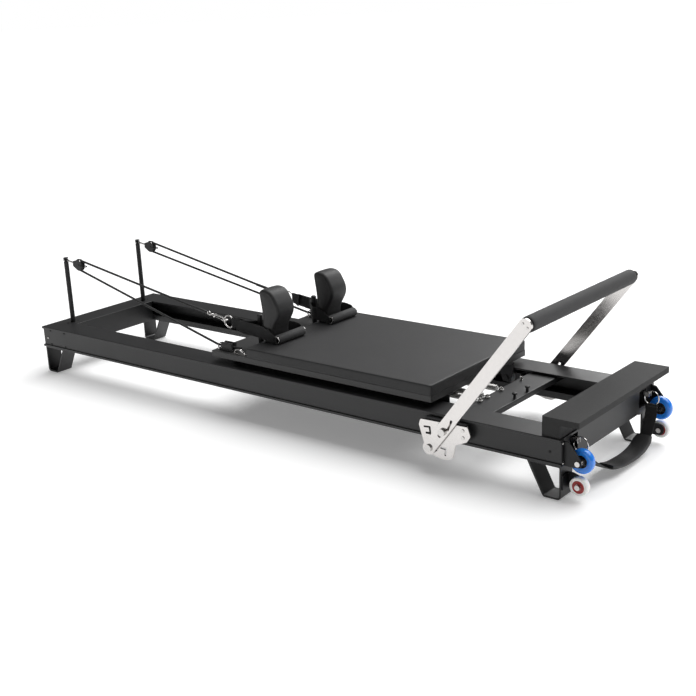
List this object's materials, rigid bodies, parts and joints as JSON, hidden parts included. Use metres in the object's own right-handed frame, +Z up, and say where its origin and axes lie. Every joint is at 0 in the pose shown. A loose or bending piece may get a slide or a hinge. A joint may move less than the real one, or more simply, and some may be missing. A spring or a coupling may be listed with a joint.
{
  "type": "pilates reformer",
  "caption": "Low sliding-carriage pilates reformer with padded bed, shoulder rests, rope pulleys on riser posts, spring bar, folding footbar, standing platform and transport wheels.",
  "frame": {"origin": "middle of the overall footprint at floor level", "axes": "+X from the head end with its riser posts to the foot end with its standing platform, +Y to the far rail, +Z up"},
  "size_m": [2.47, 0.686, 0.55],
  "materials": {
    "charcoal_paint": "satin charcoal powder coat",
    "silver_paint": "polished steel plate",
    "black_metal": "black zinc",
    "bright_steel": "bright plated steel",
    "brushed_steel": "spring steel",
    "black_plastic": "moulded black nylon",
    "grey_wheel": "grey polyurethane",
    "blue_wheel": "translucent blue urethane",
    "white_wheel": "white urethane tread with a red hub",
    "black_vinyl": "black upholstery vinyl",
    "black_board": "black laminated board",
    "grey_board": "dark grey grit-coated board",
    "black_foam": "black foam",
    "black_webbing": "woven black webbing",
    "black_rope": "braided black cord"
  },
  "bodies": {
    "frame": {"near_side_rail": "charcoal_paint", "far_side_rail": "charcoal_paint", "head_crossbar": "charcoal_paint", "foot_crossbar": "charcoal_paint", "head_leg_near": "charcoal_paint", "head_leg_far": "charcoal_paint", "foot_leg_near": "charcoal_paint", "foot_leg_far": "charcoal_paint", "riser_post_near": "black_metal", "riser_post_far": "black_metal", "spring_bar": "charcoal_paint", "spring_pegs": "black_plastic", "footbar_brackets": "silver_paint", "bracket_spacers": "black_metal", "footbar_pivot_bolts": "bright_steel", "frame_screws": "bright_steel", "platform_board": "grey_board", "platform_support": "grey_board", "wheel_brackets": "black_metal", "caster_brackets": "black_metal", "wheel_axles": "bright_steel", "carriage_stops": "black_plastic"},
    "pulley_near": {"pulley_block_near": "bright_steel"},
    "pulley_far": {"pulley_block_far": "bright_steel"},
    "near_sheave": {"sheave_near": "black_plastic"},
    "far_sheave": {"sheave_far": "black_plastic"},
    "carriage": {"carriage_board": "black_board", "carriage_pad": "black_vinyl", "carriage_wheel_brackets": "black_metal", "spring_anchor": "black_metal", "carriage_springs": "brushed_steel", "parked_spring": "brushed_steel", "strap_pegs": "black_plastic", "rope_cleats": "bright_steel", "rope_near": "black_rope", "rope_far": "black_rope", "hand_strap_near": "black_webbing", "hand_strap_far": "black_webbing", "hand_grip_near": "black_foam", "hand_grip_far": "black_foam"},
    "rope_end_near": {"rope_hook_near": "bright_steel"},
    "rope_end_far": {"rope_hook_far": "bright_steel"},
    "rest_near": {"shoulder_rest_near": "black_vinyl"},
    "rest_far": {"shoulder_rest_far": "black_vinyl"},
    "footbar": {"footbar_arm_near": "silver_paint", "footbar_arm_far": "silver_paint", "footbar_tube": "black_metal", "footbar_foam": "black_foam", "footbar_bolts": "bright_steel"},
    "foot_strap": {"foot_strap_webbing": "black_webbing", "foot_strap_pad": "black_vinyl", "foot_strap_rings": "bright_steel"},
    "wheel_near_front": {"carriage_wheel_near_front": "grey_wheel"},
    "wheel_near_rear": {"carriage_wheel_near_rear": "grey_wheel"},
    "blue_near": {"blue_wheel_near": "blue_wheel"},
    "white_near": {"white_wheel_near": "white_wheel"},
    "wheel_far_front": {"carriage_wheel_far_front": "grey_wheel"},
    "wheel_far_rear": {"carriage_wheel_far_rear": "grey_wheel"},
    "blue_far": {"blue_wheel_far": "blue_wheel"},
    "white_far": {"white_wheel_far": "white_wheel"}
  },
  "joints": [
    {"name": "carriage_slide", "type": "slide", "parent": "frame", "child": "carriage", "axis": [1, 0, 0], "range_m": [-0.78, 0], "stiffness_N_per_m": 150, "springref_m": 0.1, "deforming": ["carriage_springs", "rope_near", "rope_far", "hand_strap_near", "hand_strap_far"]},
    {"name": "pulley_near_swivel", "type": "hinge", "parent": "frame", "child": "pulley_near", "pos_m": [-1.174, -0.1915, 0.452], "axis": [0, 0, 1], "range_deg": [-8, 8], "deforming": ["rope_near"]},
    {"name": "sheave_near_spin", "type": "hinge", "parent": "pulley_near", "child": "near_sheave", "pos_m": [-1.087, -0.1915, 0.44], "axis": [0, 1, 0], "continuous": true},
    {"name": "rope_end_near_slide", "type": "slide", "parent": "carriage", "child": "rope_end_near", "axis": [1, 0, 0], "range_m": [0, 0.1376], "deforming": ["rope_near", "hand_strap_near"]},
    {"name": "rest_near_lift", "type": "slide", "parent": "carriage", "child": "rest_near", "axis": [0, 0, 1], "range_m": [0, 0.1]},
    {"name": "wheel_near_front_spin", "type": "hinge", "parent": "carriage", "child": "wheel_near_front", "pos_m": [-0.225, -0.222, 0.154], "axis": [0, 1, 0], "range_deg": [-1900, 60]},
    {"name": "wheel_near_rear_spin", "type": "hinge", "parent": "carriage", "child": "wheel_near_rear", "pos_m": [0.665, -0.222, 0.154], "axis": [0, 1, 0], "range_deg": [-1900, 60]},
    {"name": "blue_near_spin", "type": "hinge", "parent": "frame", "child": "blue_near", "pos_m": [1.197, -0.261, 0.124], "axis": [0, 1, 0], "continuous": true},
    {"name": "white_near_spin", "type": "hinge", "parent": "frame", "child": "white_near", "pos_m": [1.195, -0.272, 0.049], "axis": [0, 1, 0], "continuous": true},
    {"name": "pulley_far_swivel", "type": "hinge", "parent": "frame", "child": "pulley_far", "pos_m": [-1.174, 0.1915, 0.452], "axis": [0, 0, 1], "range_deg": [-8, 8], "deforming": ["rope_far"]},
    {"name": "sheave_far_spin", "type": "hinge", "parent": "pulley_far", "child": "far_sheave", "pos_m": [-1.087, 0.1915, 0.44], "axis": [0, 1, 0], "continuous": true},
    {"name": "rope_end_far_slide", "type": "slide", "parent": "carriage", "child": "rope_end_far", "axis": [1, 0, 0], "range_m": [0, 0.1766], "deforming": ["rope_far", "hand_strap_far"]},
    {"name": "rest_far_lift", "type": "slide", "parent": "carriage", "child": "rest_far", "axis": [0, 0, 1], "range_m": [0, 0.1]},
    {"name": "wheel_far_front_spin", "type": "hinge", "parent": "carriage", "child": "wheel_far_front", "pos_m": [-0.225, 0.222, 0.154], "axis": [0, 1, 0], "range_deg": [-1900, 60]},
    {"name": "wheel_far_rear_spin", "type": "hinge", "parent": "carriage", "child": "wheel_far_rear", "pos_m": [0.665, 0.222, 0.154], "axis": [0, 1, 0], "range_deg": [-1900, 60]},
    {"name": "blue_far_spin", "type": "hinge", "parent": "frame", "child": "blue_far", "pos_m": [1.197, 0.261, 0.124], "axis": [0, 1, 0], "continuous": true},
    {"name": "white_far_spin", "type": "hinge", "parent": "frame", "child": "white_far", "pos_m": [1.195, 0.272, 0.049], "axis": [0, 1, 0], "continuous": true},
    {"name": "footbar_tilt", "type": "hinge", "parent": "frame", "child": "footbar", "pos_m": [0.708, 0, 0.085], "axis": [0, 1, 0], "range_deg": [-58, 52]},
    {"name": "foot_strap_swing", "type": "hinge", "parent": "frame", "child": "foot_strap", "pos_m": [1.1668, 0, 0.1772], "axis": [0, 1, 0], "range_deg": [-60, 0]}
  ],
  "couplings": [
    {"joint": "rope_end_near_slide", "follows": "carriage_slide", "ratio": -0.17},
    {"joint": "wheel_near_front_spin", "follows": "carriage_slide", "rad_per_m": 41.667},
    {"joint": "wheel_near_rear_spin", "follows": "carriage_slide", "rad_per_m": 41.667},
    {"joint": "rope_end_far_slide", "follows": "carriage_slide", "ratio": -0.22},
    {"joint": "wheel_far_front_spin", "follows": "carriage_slide", "rad_per_m": 41.667},
    {"joint": "wheel_far_rear_spin", "follows": "carriage_slide", "rad_per_m": 41.667}
  ]
}
